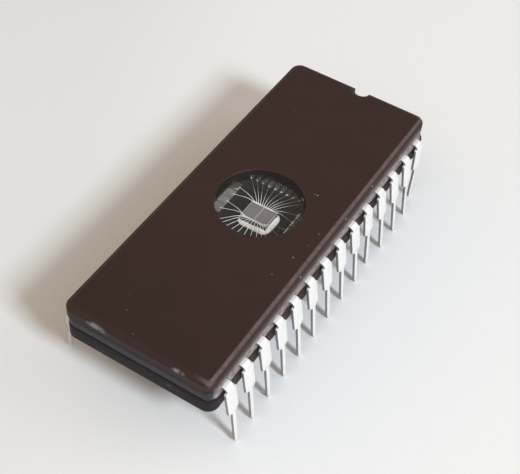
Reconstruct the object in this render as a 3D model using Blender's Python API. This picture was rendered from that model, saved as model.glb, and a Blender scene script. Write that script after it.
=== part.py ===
# A windowed memory chip in a 28-lead ceramic dual in-line package, standing on its lead tips.
# The package is a sandwich: a ceramic base, a lead frame held in seal glass, and a ceramic lid
# with a round window. A silicon die lies in the base's cavity, with a fine wire to each lead.
# +Z is up, +Y runs along the package to its notched end, and the lead tips stand at Z = 0.

import math

import bmesh
import bpy
from mathutils import Vector

MM = 0.001

# Package body
BODY_WIDTH = 14.30 * MM
BODY_LENGTH = 37.04 * MM
BODY_CORNER_RADIUS = 1.0 * MM
UNDERSIDE_HEIGHT = 5.12 * MM
BASE_THICKNESS = 1.44 * MM
GLASS_THICKNESS = 0.62 * MM
LID_THICKNESS = 1.36 * MM
SEAT_GAP = 0.02 * MM

# The plates slid a little on the molten glass, so each one's middle lies off the lead frame's
BASE_OFFSET = (0.14 * MM, -0.02 * MM)
LID_OFFSET = (-0.10 * MM, 0.10 * MM)

# Pressed edges and the index notch
LID_BEVEL_WIDTH = 0.32 * MM
LID_BEVEL_DROP = 0.19 * MM
LID_EDGE_WIDTH = 0.50 * MM
LID_EDGE_DROP = 0.44 * MM
BASE_EDGE_ROUND = 0.10 * MM
SEAM_EDGE_ROUND = 0.10 * MM
NOTCH_RADIUS = 0.72 * MM
NOTCH_SHIFT_X = 0.22 * MM
GLASS_SETBACK = 0.06 * MM
GLASS_BULGE = 0.05 * MM

# Cavity, die and window
CAVITY_WIDTH = 5.70 * MM
CAVITY_LENGTH = 5.90 * MM
CAVITY_DEPTH = 0.45 * MM
CAVITY_CORNER_RADIUS = 0.35 * MM
DIE_WIDTH = 2.62 * MM
DIE_LENGTH = 2.16 * MM
DIE_THICKNESS = 0.60 * MM
DIE_SHIFT_Y = -0.07 * MM
ATTACH_HALF_WIDTH = 1.62 * MM
ATTACH_CORNER_RADIUS = 0.85 * MM
ATTACH_FLOOR = 0.10 * MM
ATTACH_HEIGHT = 0.34 * MM
ATTACH_RIM = 0.05 * MM
WINDOW_RADIUS = 4.00 * MM
LENS_THICKNESS = 1.10 * MM
LENS_CHAMFER = 0.05 * MM

# Lead frame
LEADS_PER_ROW = 14
PITCH = 2.54 * MM
LEAD_THICKNESS = 0.25 * MM
LEAD_BEDDING = 0.20 * MM
SHOULDER_WIDTH = 0.92 * MM
WIDE_WIDTH = 1.42 * MM
LEG_WIDTH = 0.48 * MM
TIP_WIDTH = 0.16 * MM
BEND_STANDOFF = 0.11 * MM
BEND_RADIUS = 0.17 * MM
WIDE_LEAN_DEGREES = 9.2
LEG_LEAN_DEGREES = 6.5
WIDE_TOP_DROP = 0.325 * MM
WIDE_STEP = 0.08 * MM
WIDE_END_HEIGHT = 4.12 * MM
LEG_START_HEIGHT = 3.84 * MM
POINT_LENGTH = 0.42 * MM
LOCK_LENGTH = 0.40 * MM
STRAIGHT_LENGTH = 0.80 * MM
FINGER_ROOT_WIDTH = 0.80 * MM
FINGER_WIDTH = 0.62 * MM
END_TIP_WIDTH = 0.42 * MM
END_TIP_PITCH = 0.64 * MM
SIDE_TIP_WIDTH = 0.90 * MM
SIDE_TIP_PITCH = 1.03 * MM
SIDE_TAPER_LENGTH = 0.3192 * MM
SIDE_TURN_SHARE = 0.36
TIPS_PER_CORNER_AT_END = 5
TIP_SETBACK = 0.13 * MM
TIP_RUN = 0.62 * MM
TIP_STAGGER = 0.45 * MM
EXPOSED_TIP = 0.90 * MM
EXPOSED_HEIGHT = 0.06 * MM

# Leads that have been pushed inwards a little by handling: pin number, loss of lean in degrees
HANDLED_LEADS = {24: 1.7, 27: 1.2, 28: 7.2}

# Bond wires
WIRE_DIAMETER = 0.045 * MM
WIRE_RISE = 0.16 * MM
PAD_INSET = 0.11 * MM
PAD_MARGIN = 0.16 * MM
STITCH_INSET = 0.22 * MM
WIRE_SINK = 0.02 * MM
WIRE_STEPS = 8
WIRE_SIDES = 5

# Smoothness of round forms
CORNER_STEPS = 6
NOTCH_STEPS = 10
EDGE_STEPS = 4
BEND_STEPS = 5
ROUND_STEPS = 48
DOME_STEPS = 3

# Heights that follow from the layers
BASE_TOP = UNDERSIDE_HEIGHT + BASE_THICKNESS
GLASS_BOTTOM = BASE_TOP + SEAT_GAP
GLASS_TOP = GLASS_BOTTOM + GLASS_THICKNESS
LID_BOTTOM = GLASS_TOP + SEAT_GAP
LID_TOP = LID_BOTTOM + LID_THICKNESS
LEAD_BOTTOM = GLASS_BOTTOM + LEAD_BEDDING
LEAD_MIDDLE = LEAD_BOTTOM + LEAD_THICKNESS / 2
LEAD_TOP = LEAD_BOTTOM + LEAD_THICKNESS
LEDGE_HEIGHT = LEAD_TOP - EXPOSED_HEIGHT
WIDE_TOP_HEIGHT = LEAD_MIDDLE - WIDE_TOP_DROP
LENS_BOTTOM = LID_TOP - LENS_THICKNESS
CAVITY_FLOOR = BASE_TOP - CAVITY_DEPTH
ATTACH_BOTTOM = CAVITY_FLOOR + SEAT_GAP
DIE_BOTTOM = ATTACH_BOTTOM + ATTACH_FLOOR + SEAT_GAP
DIE_TOP = DIE_BOTTOM + DIE_THICKNESS

# Half sizes used again and again
HALF_WIDTH = BODY_WIDTH / 2
HALF_LENGTH = BODY_LENGTH / 2
CAVITY_HALF_WIDTH = CAVITY_WIDTH / 2
CAVITY_HALF_LENGTH = CAVITY_LENGTH / 2


def clear_scene():
    """Removes every object, so the file holds the chip alone."""
    for obj in list(bpy.data.objects):
        bpy.data.objects.remove(obj)


def material(name, colour, roughness, metallic=0.0, transmission=0.0):
    """A plain Principled material in the colour, roughness and metal of one real finish."""
    made = bpy.data.materials.new(name)
    made.use_nodes = True
    shader = made.node_tree.nodes["Principled BSDF"]
    shader.inputs["Base Color"].default_value = (*colour, 1.0)
    shader.inputs["Roughness"].default_value = roughness
    shader.inputs["Metallic"].default_value = metallic
    shader.inputs["Transmission Weight"].default_value = transmission
    return made


def finish(mesh, name, finish_material, crease_degrees=35.0):
    """Turns a bmesh into a named, smooth-shaded object with outward faces."""
    bmesh.ops.recalc_face_normals(mesh, faces=mesh.faces)
    data = bpy.data.meshes.new(name)
    mesh.to_mesh(data)
    mesh.free()
    data.shade_smooth()
    data.set_sharp_from_angle(angle=math.radians(crease_degrees))
    obj = bpy.data.objects.new(name, data)
    bpy.context.scene.collection.objects.link(obj)
    data.materials.append(finish_material)
    return obj


def as_cutter(obj):
    """Hides a solid that only cuts or joins another one."""
    obj.hide_render = True
    obj.display_type = "WIRE"
    return obj


def cut(obj, cutter):
    """Cuts one solid out of another."""
    step = obj.modifiers.new("cut " + cutter.name, "BOOLEAN")
    step.operation = "DIFFERENCE"
    step.object = cutter


def combine_group(obj, solids, operation):
    """Cuts a group of solids out of another, or joins them to it, in one step."""
    group = bpy.data.collections.new(obj.name + " " + operation.lower())
    for solid in solids:
        group.objects.link(solid)
    step = obj.modifiers.new(operation.lower(), "BOOLEAN")
    step.operation = operation
    step.operand_type = "COLLECTION"
    step.collection = group


def arc(centre_x, centre_y, radius, start, end, steps):
    """Points on a circular arc from one angle to another, in radians, both ends included."""
    angles = [start + (end - start) * i / steps for i in range(steps + 1)]
    return [(centre_x + radius * math.cos(a), centre_y + radius * math.sin(a)) for a in angles]


def rounded_rectangle(half_width, half_length, radius):
    """A rectangle with round corners, anticlockwise from its right side."""
    x = half_width - radius
    y = half_length - radius
    quarter = math.pi / 2
    corners = [(x, y, 0), (-x, y, 1), (-x, -y, 2), (x, -y, 3)]
    points = []
    for corner_x, corner_y, turn in corners:
        points += arc(corner_x, corner_y, radius, turn * quarter, (turn + 1) * quarter, CORNER_STEPS)
    return points


def package_outline(inset, offset):
    """A plate's plan at its offset, drawn in by an inset: round corners and a half-round notch at +Y.

    The notch keeps its centre on the full-size end and grows by the inset, so every
    outline has the same count of points and the rings between them bridge squarely."""
    half_width = HALF_WIDTH - inset
    half_length = HALF_LENGTH - inset
    radius = BODY_CORNER_RADIUS - inset
    plain = rounded_rectangle(half_width, half_length, radius)
    notch = NOTCH_RADIUS + inset
    reach = math.acos(-inset / notch) - math.pi / 2
    mouth = arc(NOTCH_SHIFT_X, HALF_LENGTH, notch, -reach, -math.pi + reach, NOTCH_STEPS)
    first_corner = plain[:CORNER_STEPS + 1]
    outline = first_corner + mouth + plain[CORNER_STEPS + 1:]
    return [(x + offset[0], y + offset[1]) for x, y in outline]


def loft(mesh, rings):
    """Skins a stack of rings of equal count, closed by a face at each end."""
    rows = []
    for ring in rings:
        rows.append([mesh.verts.new(point) for point in ring])
    for low, high in zip(rows, rows[1:]):
        count = len(low)
        for i in range(count):
            j = (i + 1) % count
            mesh.faces.new((low[i], low[j], high[j], high[i]))
    mesh.faces.new(rows[0][::-1])
    mesh.faces.new(rows[-1])


def ring_at(outline, height):
    """Lifts a plan outline to a height."""
    return [(x, y, height) for x, y in outline]


def prism(name, outline, low, high, finish_material):
    """A straight-sided solid over a plan outline."""
    mesh = bmesh.new()
    loft(mesh, [ring_at(outline, low), ring_at(outline, high)])
    return finish(mesh, name, finish_material)


def window_circle(radius):
    """A circle on the lid's middle, as a closed outline."""
    turn = 2 * math.pi * (1 - 1 / ROUND_STEPS)
    return arc(LID_OFFSET[0], LID_OFFSET[1], radius, 0.0, turn, ROUND_STEPS - 1)


def edge_profile(width, drop, steps):
    """Steps round an edge, from the wall to the flat: how far in, and how far from the wall's end."""
    quarter = math.pi / 2
    turns = [quarter * i / steps for i in range(steps + 1)]
    return [(width * (1 - math.cos(t)), drop * math.sin(t)) for t in turns]


def ceramic_base(ceramic):
    """The lower half of the package, pressed with a round lower edge and a cavity for the die."""
    lower = [(inset, UNDERSIDE_HEIGHT + BASE_EDGE_ROUND - rise)
             for inset, rise in reversed(edge_profile(BASE_EDGE_ROUND, BASE_EDGE_ROUND, EDGE_STEPS))]
    upper = [(inset, BASE_TOP - SEAM_EDGE_ROUND + rise)
             for inset, rise in edge_profile(SEAM_EDGE_ROUND, SEAM_EDGE_ROUND, 2)]
    mesh = bmesh.new()
    loft(mesh, [ring_at(package_outline(inset, BASE_OFFSET), height) for inset, height in lower + upper])
    base = finish(mesh, "ceramic_base", ceramic)
    plan = rounded_rectangle(CAVITY_HALF_WIDTH, CAVITY_HALF_LENGTH, CAVITY_CORNER_RADIUS)
    cut(base, as_cutter(prism("cavity_cutter", plan, CAVITY_FLOOR, GLASS_TOP, ceramic)))
    return base


def ceramic_lid(ceramic):
    """The upper half: a bevelled upper edge, the window's hole, and a recess over the finger tips."""
    lower = [(inset, LID_BOTTOM + SEAM_EDGE_ROUND - rise)
             for inset, rise in reversed(edge_profile(SEAM_EDGE_ROUND, SEAM_EDGE_ROUND, 2))]
    upper = [(inset, LID_TOP - LID_EDGE_DROP + rise)
             for inset, rise in edge_profile(LID_EDGE_WIDTH - LID_BEVEL_WIDTH,
                                             LID_EDGE_DROP - LID_BEVEL_DROP, EDGE_STEPS)]
    upper.append((LID_EDGE_WIDTH, LID_TOP))
    mesh = bmesh.new()
    loft(mesh, [ring_at(package_outline(inset, LID_OFFSET), height) for inset, height in lower + upper])
    lid = finish(mesh, "ceramic_lid", ceramic)
    hole = window_circle(WINDOW_RADIUS)
    cut(lid, as_cutter(prism("window_cutter", hole, GLASS_BOTTOM, LID_TOP + MM, ceramic)))
    recess = exposed_opening()
    cut(lid, as_cutter(prism("recess_cutter", recess, GLASS_BOTTOM, LENS_BOTTOM, ceramic)))
    return lid


def exposed_opening():
    """The plan of the space round the bare finger tips, in the seal glass and the lid."""
    half_width = CAVITY_HALF_WIDTH + TIP_SETBACK + EXPOSED_TIP
    half_length = CAVITY_HALF_LENGTH + TIP_SETBACK + EXPOSED_TIP
    return rounded_rectangle(half_width, half_length, CAVITY_CORNER_RADIUS)


def window_lens(glass):
    """The clear lens, fused flush with the lid's top."""
    mesh = bmesh.new()
    radius = WINDOW_RADIUS - SEAT_GAP
    sections = [(radius, LENS_BOTTOM), (radius, LID_TOP - LENS_CHAMFER), (radius - LENS_CHAMFER, LID_TOP)]
    loft(mesh, [ring_at(window_circle(size), height) for size, height in sections])
    return finish(mesh, "window_lens", glass)


def row_side(pin):
    """-1 for the row of pins 1 to 14, +1 for the row of pins 15 to 28."""
    return -1 if pin <= LEADS_PER_ROW else 1


def pin_y(pin):
    """A pin's place along the package: down the first row from the notch, and back up the other."""
    row_start = (LEADS_PER_ROW - 1) / 2 * PITCH
    if pin <= LEADS_PER_ROW:
        return row_start - (pin - 1) * PITCH
    return -row_start + (pin - LEADS_PER_ROW - 1) * PITCH


def finger_plan(pin):
    """A lead's route in the glass, from outside the body to its tip: x, y and half width.

    Leads near the package's ends turn to the ends of the cavity, and the middle ones to its sides."""
    side = row_side(pin)
    y = pin_y(pin)
    end = 1 if y > 0 else -1
    from_end = round((LEADS_PER_ROW - 1) / 2 - abs(y) / PITCH)
    root_x = side * (HALF_WIDTH - LOCK_LENGTH - STRAIGHT_LENGTH)
    route = [(side * (HALF_WIDTH - LOCK_LENGTH), y, SHOULDER_WIDTH / 2),
             (root_x, y, FINGER_ROOT_WIDTH / 2)]
    if from_end < TIPS_PER_CORNER_AT_END:
        tip_x = side * END_TIP_PITCH * (from_end + 0.5)
        tip_y = CAVITY_HALF_LENGTH + TIP_SETBACK
        turn_y = tip_y + TIP_RUN + TIP_STAGGER * (TIPS_PER_CORNER_AT_END - 1 - from_end)
        route.append(blend_point((root_x, y), (tip_x, end * turn_y), 0.5, FINGER_WIDTH / 2))
        route.append((tip_x, end * turn_y, END_TIP_WIDTH / 2))
        route.append((tip_x, end * tip_y, END_TIP_WIDTH / 2))
        return route
    tip_x = side * (CAVITY_HALF_WIDTH + TIP_SETBACK)
    tip_y = end * SIDE_TIP_PITCH * (LEADS_PER_ROW / 2 - 0.5 - from_end)
    turn_x = tip_x + (root_x - tip_x) * SIDE_TURN_SHARE
    route.append((turn_x, tip_y, FINGER_WIDTH / 2))
    route.append((turn_x - side * SIDE_TAPER_LENGTH, tip_y, SIDE_TIP_WIDTH / 2))
    route.append((tip_x, tip_y, SIDE_TIP_WIDTH / 2))
    return route


def blend_point(start, stop, share, half_width):
    """A point part of the way along a straight run, with a half width."""
    x = start[0] + (stop[0] - start[0]) * share
    y = start[1] + (stop[1] - start[1]) * share
    return (x, y, half_width)


def side_vectors(points):
    """For each point of a plan route, the sideways vector that keeps the strip's width in its turns."""
    runs = [Vector(b) - Vector(a) for a, b in zip(points, points[1:])]
    runs = [run.normalized() for run in runs]
    vectors = []
    for i in range(len(points)):
        before = runs[max(i - 1, 0)]
        after = runs[min(i, len(runs) - 1)]
        middle = (before + after).normalized()
        across = Vector((-middle.y, middle.x))
        vectors.append(across / middle.dot(before))
    return vectors


def finger_stations(pin, grow=0.0):
    """Cross-sections of the flat finger: centre, sideways vector and upward vector."""
    route = finger_plan(pin)
    sideways = side_vectors([(x, y) for x, y, half in route])
    upward = Vector((0, 0, LEAD_THICKNESS / 2 + grow))
    stations = []
    for (x, y, half), across in zip(route, sideways):
        sideways_3d = Vector((across.x, across.y, 0)) * (half + grow)
        stations.append((Vector((x, y, LEAD_MIDDLE)), sideways_3d, upward.copy()))
    return stations


def leg_stations(pin):
    """Cross-sections of the bend, the wide part and the leg, from the tip on the table up to the body."""
    side = row_side(pin)
    pushed = HANDLED_LEADS.get(pin, 0.0)
    wide_lean = math.radians(WIDE_LEAN_DEGREES - pushed)
    leg_lean = math.radians(LEG_LEAN_DEGREES - pushed)
    middle_radius = BEND_RADIUS + LEAD_THICKNESS / 2
    bend_centre = Vector((side * (HALF_WIDTH + BEND_STANDOFF), pin_y(pin), LEAD_MIDDLE - middle_radius))
    turn = math.pi / 2 - wide_lean
    stations = []
    for i in range(BEND_STEPS + 1):
        angle = turn * i / BEND_STEPS
        outward = Vector((side * math.sin(angle), 0, math.cos(angle)))
        stations.append((bend_centre + outward * middle_radius, SHOULDER_WIDTH / 2, outward))
    # The lowest corner of the cut tip touches the table.
    tip_height = LEAD_THICKNESS / 2 * abs(math.sin(leg_lean))
    wide_part = [(WIDE_TOP_HEIGHT, SHOULDER_WIDTH), (WIDE_TOP_HEIGHT - WIDE_STEP, WIDE_WIDTH),
                 (WIDE_END_HEIGHT, WIDE_WIDTH), (LEG_START_HEIGHT, LEG_WIDTH)]
    leg = [(POINT_LENGTH, LEG_WIDTH), (tip_height, TIP_WIDTH)]
    for lean, levels in ((wide_lean, wide_part), (leg_lean, leg)):
        start = stations[-1][0]
        face = Vector((side * math.cos(lean), 0, math.sin(lean)))
        for height, width in levels:
            run = Vector((side * math.tan(lean), 0, -1)) * (start.z - height)
            stations.append((start + run, width / 2, face))
    across = Vector((0, side, 0))
    half_thickness = LEAD_THICKNESS / 2
    return [(centre, across * half, face * half_thickness) for centre, half, face in reversed(stations)]


def strip(mesh, stations):
    """Skins a flat strip through its rectangular cross-sections."""
    rings = []
    for centre, across, upward in stations:
        rings.append([centre - across - upward, centre + across - upward,
                      centre + across + upward, centre - across + upward])
    loft(mesh, rings)


def lead(pin, tin):
    """One lead of the frame: finger, shoulder, bend, wide part, narrow leg and point."""
    mesh = bmesh.new()
    finger = finger_stations(pin)
    leg = leg_stations(pin)
    if finger[0][1].dot(leg[-1][1]) < 0:
        leg = [(centre, -across, upward) for centre, across, upward in leg]
    strip(mesh, leg + finger)
    return finish(mesh, f"lead_{pin:02d}", tin, crease_degrees=25.0)


def finger_slot(pin, glass):
    """The space that one finger takes in the seal glass, with the seating gap all round."""
    stations = finger_stations(pin, grow=SEAT_GAP)
    outer, across, upward = stations[0]
    tip, tip_across, tip_upward = stations[-1]
    run = (tip - stations[-2][0]).normalized()
    beyond = Vector((row_side(pin) * (LOCK_LENGTH + MM), 0, 0))
    stations.insert(0, (outer + beyond, across, upward))
    stations[-1] = (tip + run * SEAT_GAP, tip_across, tip_upward)
    mesh = bmesh.new()
    strip(mesh, stations)
    return as_cutter(finish(mesh, f"slot_{pin:02d}", glass))


def seal_glass(glass):
    """The fired glass between base and lid, with the lead frame set in it and open over the cavity."""
    middle = GLASS_BOTTOM + GLASS_THICKNESS / 2
    middle_offset = [(base + lid) / 2 for base, lid in zip(BASE_OFFSET, LID_OFFSET)]
    edge = GLASS_SETBACK + GLASS_BULGE
    levels = [(edge, BASE_OFFSET, GLASS_BOTTOM), (GLASS_SETBACK, middle_offset, middle),
              (edge, LID_OFFSET, GLASS_TOP)]
    mesh = bmesh.new()
    loft(mesh, [ring_at(package_outline(inset, offset), height) for inset, offset, height in levels])
    body = finish(mesh, "seal_glass", glass)
    bed_edge = TIP_SETBACK / 2
    bed = rounded_rectangle(CAVITY_HALF_WIDTH + bed_edge, CAVITY_HALF_LENGTH + bed_edge, CAVITY_CORNER_RADIUS)
    cut(body, as_cutter(prism("bed_cutter", bed, CAVITY_FLOOR, LID_TOP, glass)))
    cut(body, as_cutter(prism("ledge_cutter", exposed_opening(), LEDGE_HEIGHT, LID_TOP, glass)))
    combine_group(body, [finger_slot(pin, glass) for pin in all_pins()], "DIFFERENCE")
    return body


def all_pins():
    """Pin numbers, from 1."""
    return range(1, 2 * LEADS_PER_ROW + 1)


def die_plan(grow):
    """The die's rectangle, in the cavity's middle but for a small shift, grown by a margin."""
    x = DIE_WIDTH / 2 + grow
    y = DIE_LENGTH / 2 + grow
    return [(x, y + DIE_SHIFT_Y), (-x, y + DIE_SHIFT_Y), (-x, -y + DIE_SHIFT_Y), (x, -y + DIE_SHIFT_Y)]


def die_attach(silver):
    """The pat of silver-filled glass under the die, squeezed out and drawn up round its sides."""
    plan = rounded_rectangle(ATTACH_HALF_WIDTH, ATTACH_HALF_WIDTH, ATTACH_CORNER_RADIUS)
    profile = [(1.0, ATTACH_BOTTOM), (1.0, ATTACH_BOTTOM + ATTACH_RIM)]
    rise = ATTACH_HEIGHT - ATTACH_RIM
    for i in range(1, DOME_STEPS + 1):
        share = i / DOME_STEPS
        height = ATTACH_BOTTOM + ATTACH_RIM + rise * math.sin(share * math.pi / 2)
        profile.append((math.cos(share * math.pi / 3), height))
    mesh = bmesh.new()
    loft(mesh, [[(x * scale, y * scale + DIE_SHIFT_Y, height) for x, y in plan] for scale, height in profile])
    body = finish(mesh, "die_attach", silver)
    pocket = prism("die_pocket_cutter", die_plan(SEAT_GAP), ATTACH_BOTTOM + ATTACH_FLOOR, LID_TOP, silver)
    cut(body, as_cutter(pocket))
    return body


def bond_pad(pin):
    """Where a pin's wire starts on the die: along the end edge that faces the pin."""
    y = pin_y(pin)
    end = 1 if y > 0 else -1
    from_end = round((LEADS_PER_ROW - 1) / 2 - abs(y) / PITCH)
    usable = DIE_WIDTH / 2 - PAD_MARGIN
    x = row_side(pin) * usable * (from_end + 0.5) / (LEADS_PER_ROW / 2 - 0.5)
    return Vector((x, DIE_SHIFT_Y + end * (DIE_LENGTH / 2 - PAD_INSET), DIE_TOP))


def stitch_point(pin):
    """Where a pin's wire ends: just above the bare end of its finger."""
    route = finger_plan(pin)
    tip = Vector(route[-1][:2])
    inner = Vector(route[-2][:2])
    place = tip + (inner - tip).normalized() * STITCH_INSET
    return Vector((place.x, place.y, LEAD_TOP + SEAT_GAP + WIRE_DIAMETER / 2))


def bond_wire(pin, aluminium):
    """A fine wire that climbs from its pad, arches over the die's edge and lands on its finger.

    Its height is a straight climb plus a low arch that starts steep and dies away at the finger."""
    pad = bond_pad(pin) - Vector((0, 0, WIRE_SINK))
    stitch = stitch_point(pin)
    centres = []
    for i in range(WIRE_STEPS + 1):
        share = i / WIRE_STEPS
        along = share ** 1.35
        point = pad.lerp(stitch, along)
        climb = (stitch.z - pad.z) * (math.sin(share * math.pi / 2) - along)
        point.z += climb + WIRE_RISE * math.sin(math.pi * share) * (1 - share * share)
        centres.append(point)
    mesh = bmesh.new()
    loft(mesh, tube_rings(centres, WIRE_DIAMETER / 2))
    return as_cutter(finish(mesh, f"wire_{pin:02d}", aluminium))


def tube_rings(centres, radius):
    """Rings of a round wire along its centre line, each square to the wire's run."""
    rings = []
    for i in range(len(centres)):
        run = (centres[min(i + 1, len(centres) - 1)] - centres[max(i - 1, 0)]).normalized()
        across = run.cross(Vector((0, 0, 1))).normalized()
        over = across.cross(run)
        ring = []
        for k in range(WIRE_SIDES):
            angle = 2 * math.pi * k / WIRE_SIDES
            ring.append(centres[i] + across * radius * math.cos(angle) + over * radius * math.sin(angle))
        rings.append(ring)
    return rings


def silicon_die(silicon, aluminium):
    """The die with its bond wires, which are welded to its pads and so are one piece with it."""
    die = prism("silicon_die", die_plan(0.0), DIE_BOTTOM, DIE_TOP, silicon)
    wires = [bond_wire(pin, aluminium) for pin in all_pins()]
    combine_group(die, wires, "UNION")
    return die


def build():
    """Builds every piece of the chip in place."""
    clear_scene()
    ceramic = material("brown alumina ceramic", (0.055, 0.032, 0.028), 0.5)
    glass = material("grey seal glass", (0.22, 0.19, 0.19), 0.3)
    tin = material("tin-plated lead", (0.82, 0.82, 0.80), 0.32, metallic=1.0)
    clear = material("clear window glass", (0.95, 0.97, 0.97), 0.02, transmission=1.0)
    silver = material("silver die attach", (0.80, 0.77, 0.73), 0.45, metallic=0.6)
    silicon = material("silicon die", (0.18, 0.16, 0.18), 0.25, metallic=0.3)
    aluminium = material("aluminium wire", (0.85, 0.85, 0.86), 0.3, metallic=1.0)
    ceramic_base(ceramic)
    seal_glass(glass)
    ceramic_lid(ceramic)
    window_lens(clear)
    die_attach(silver)
    silicon_die(silicon, aluminium)
    for pin in all_pins():
        lead(pin, tin)


build()
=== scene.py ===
# %% [markdown]
# A windowed memory chip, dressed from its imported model.
# The chip is a sandwich of two dark ceramic plates with a stamped lead frame between them, held in
# glass. A clear lens in the upper plate shows the silicon die, its fine wires and the inner ends of
# the leads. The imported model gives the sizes. Each piece here stands in for one of its solids, apart
# from the wires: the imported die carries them, and here they are pieces of their own.

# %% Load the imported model
import math

import bpy
import numpy as np
from mathutils import Matrix, Vector


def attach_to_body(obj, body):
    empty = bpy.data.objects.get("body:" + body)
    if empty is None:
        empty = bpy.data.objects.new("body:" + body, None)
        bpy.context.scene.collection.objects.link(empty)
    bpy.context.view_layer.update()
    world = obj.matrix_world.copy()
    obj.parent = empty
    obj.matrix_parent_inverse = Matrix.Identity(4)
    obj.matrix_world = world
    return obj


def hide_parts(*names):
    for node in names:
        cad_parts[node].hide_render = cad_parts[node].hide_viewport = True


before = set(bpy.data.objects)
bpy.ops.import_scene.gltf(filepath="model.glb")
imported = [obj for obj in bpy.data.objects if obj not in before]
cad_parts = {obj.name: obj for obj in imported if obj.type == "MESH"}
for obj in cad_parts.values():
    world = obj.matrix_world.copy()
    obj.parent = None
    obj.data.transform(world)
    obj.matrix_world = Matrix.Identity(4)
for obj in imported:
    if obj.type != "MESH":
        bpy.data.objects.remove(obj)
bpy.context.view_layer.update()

print("solids in the frame:", len(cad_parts))

# %% [markdown]
# The sizes are in millimetres, because a maker reads a chip in millimetres, and one factor turns
# them into Blender's metres when a mesh is made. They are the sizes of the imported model: the pitch of
# 2.54 mm is the standard that every other size was measured against.

# %% Sizes of the package
MM = 0.001
HALF_WIDTH, HALF_LENGTH, CORNER = 7.15, 18.52, 1.0
BASE_BOTTOM, BASE_TOP = 5.12, 6.56
LID_BOTTOM, LID_TOP = 7.22, 8.58
BASE_OFFSET, LID_OFFSET = np.array([0.14, -0.02]), np.array([-0.10, 0.10])
NOTCH, NOTCH_SHIFT = 0.72, 0.22
CAVITY_X, CAVITY_Y, CAVITY_CORNER, CAVITY_FLOOR = 2.85, 2.95, 0.35, 6.11
RECESS_X, RECESS_Y = 3.88, 3.98
BED_X, BED_Y = 2.915, 3.015
CREASE, PLATE_ROUND, WAVE_DEPTH = 0.53, 0.10, 0.012
WINDOW_RADIUS, LENS_BOTTOM = 4.0, 7.48
LEAD_MIDDLE, LEAD_THICKNESS = 6.905, 0.25
LEAD_TOP = LEAD_MIDDLE + LEAD_THICKNESS / 2
PINS = np.arange(1, 29)
print("package", 2 * HALF_WIDTH, "x", 2 * HALF_LENGTH, "mm, lid top at", LID_TOP)

# %% [markdown]
# Every new piece is a grid of points: rows run along a path or up a profile, and columns run round
# it. One helper turns such a grid into a mesh with quads between neighbours, closes the columns into
# a ring, and either joins the last row to the first or closes both ends with a face. Doing this once
# keeps each piece's own cell about its shape alone.

# %% From a grid of points to a piece
def make_piece(name, points, ring_of_rows=False, sharp=35.0):
    """Skins points[row, column, xyz], in mm, with quads; columns always close into a ring."""
    rows, columns = points.shape[:2]
    index = np.arange(rows * columns).reshape(rows, columns)
    below = index if ring_of_rows else index[:-1]
    above = np.roll(index, -1, axis=0) if ring_of_rows else index[1:]
    corners = (below, np.roll(below, -1, axis=1), np.roll(above, -1, axis=1), above)
    faces = np.stack(corners, axis=-1).reshape(-1, 4).tolist()
    if not ring_of_rows:
        faces += [index[0].tolist(), index[-1][::-1].tolist()]
    mesh = bpy.data.meshes.new(name)
    mesh.from_pydata((points.reshape(-1, 3) * MM).tolist(), [], faces)
    mesh.update()
    if signed_volume(points, faces) < 0:
        mesh.flip_normals()
    mesh.shade_smooth()
    mesh.set_sharp_from_angle(angle=math.radians(sharp))
    piece = bpy.data.objects.new(name, mesh)
    bpy.context.scene.collection.objects.link(piece)
    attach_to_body(piece, "root")
    return piece


def signed_volume(points, faces):
    """The volume inside the faces: a sum of corner-one dot (corner-two cross corner-three) over six.

    It is positive when the faces look outwards, so its sign tells whether to turn them round."""
    flat = points.reshape(-1, 3)
    flat = flat - flat.mean(axis=0)
    quads = np.array([face for face in faces if len(face) == 4])
    a, b, c, d = (flat[quads[:, k]] for k in range(4))
    total = np.einsum("ij,ij->", a, np.cross(b, c)) + np.einsum("ij,ij->", a, np.cross(c, d))
    for ring in [face for face in faces if len(face) > 4]:
        rim = flat[ring]
        fan = np.cross(rim[1:-1], rim[2:])
        total += (fan @ rim[0]).sum()
    return total / 6


# %% [markdown]
# The ceramic plates, the seal glass and the lens all have upright walls round a middle axis. For
# such a form it is enough to say, for each direction from the axis, how far out a ring lies and how
# high it is. The outline is then one formula of the angle, and a wall, a rounded edge or a cavity is
# a short list of rings.

# %% Outlines as a distance for each direction
def box_reach(angle, half_x, half_y, corner):
    """How far a rectangle with round corners reaches in each direction.

    A side is reached at half width over cosine, or half length over sine, whichever is nearer. Near a
    corner the reach is where the ray leaves the corner's circle, from the quadratic formula."""
    cosine, sine = np.abs(np.cos(angle)), np.abs(np.sin(angle))
    side = np.minimum(half_x / np.maximum(cosine, 1e-9), half_y / np.maximum(sine, 1e-9))
    centre_x, centre_y = half_x - corner, half_y - corner
    along = cosine * centre_x + sine * centre_y
    miss = centre_x**2 + centre_y**2 - along**2
    round_corner = along + np.sqrt(np.maximum(corner**2 - miss, 0))
    in_corner = (side * cosine > centre_x) & (side * sine > centre_y) & (miss < corner**2)
    return np.where(in_corner, round_corner, side)


def package_reach(angle, inset=0.0):
    """A plate's outline, drawn in by an inset: a round-cornered box with a bite at its far end.

    The bite is a circle on the end, near its middle, and a ray stops where it first meets it."""
    reach = box_reach(angle, HALF_WIDTH - inset, HALF_LENGTH - inset, CORNER - inset)
    bite = NOTCH + inset
    along = HALF_LENGTH * np.sin(angle) + NOTCH_SHIFT * np.cos(angle)
    off = np.abs(HALF_LENGTH * np.cos(angle) - NOTCH_SHIFT * np.sin(angle))
    meets = (off < bite) & (np.sin(angle) > 0)
    near = along - np.sqrt(np.maximum(bite**2 - off**2, 0))
    return np.where(meets, np.minimum(reach, near), reach)


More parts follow.
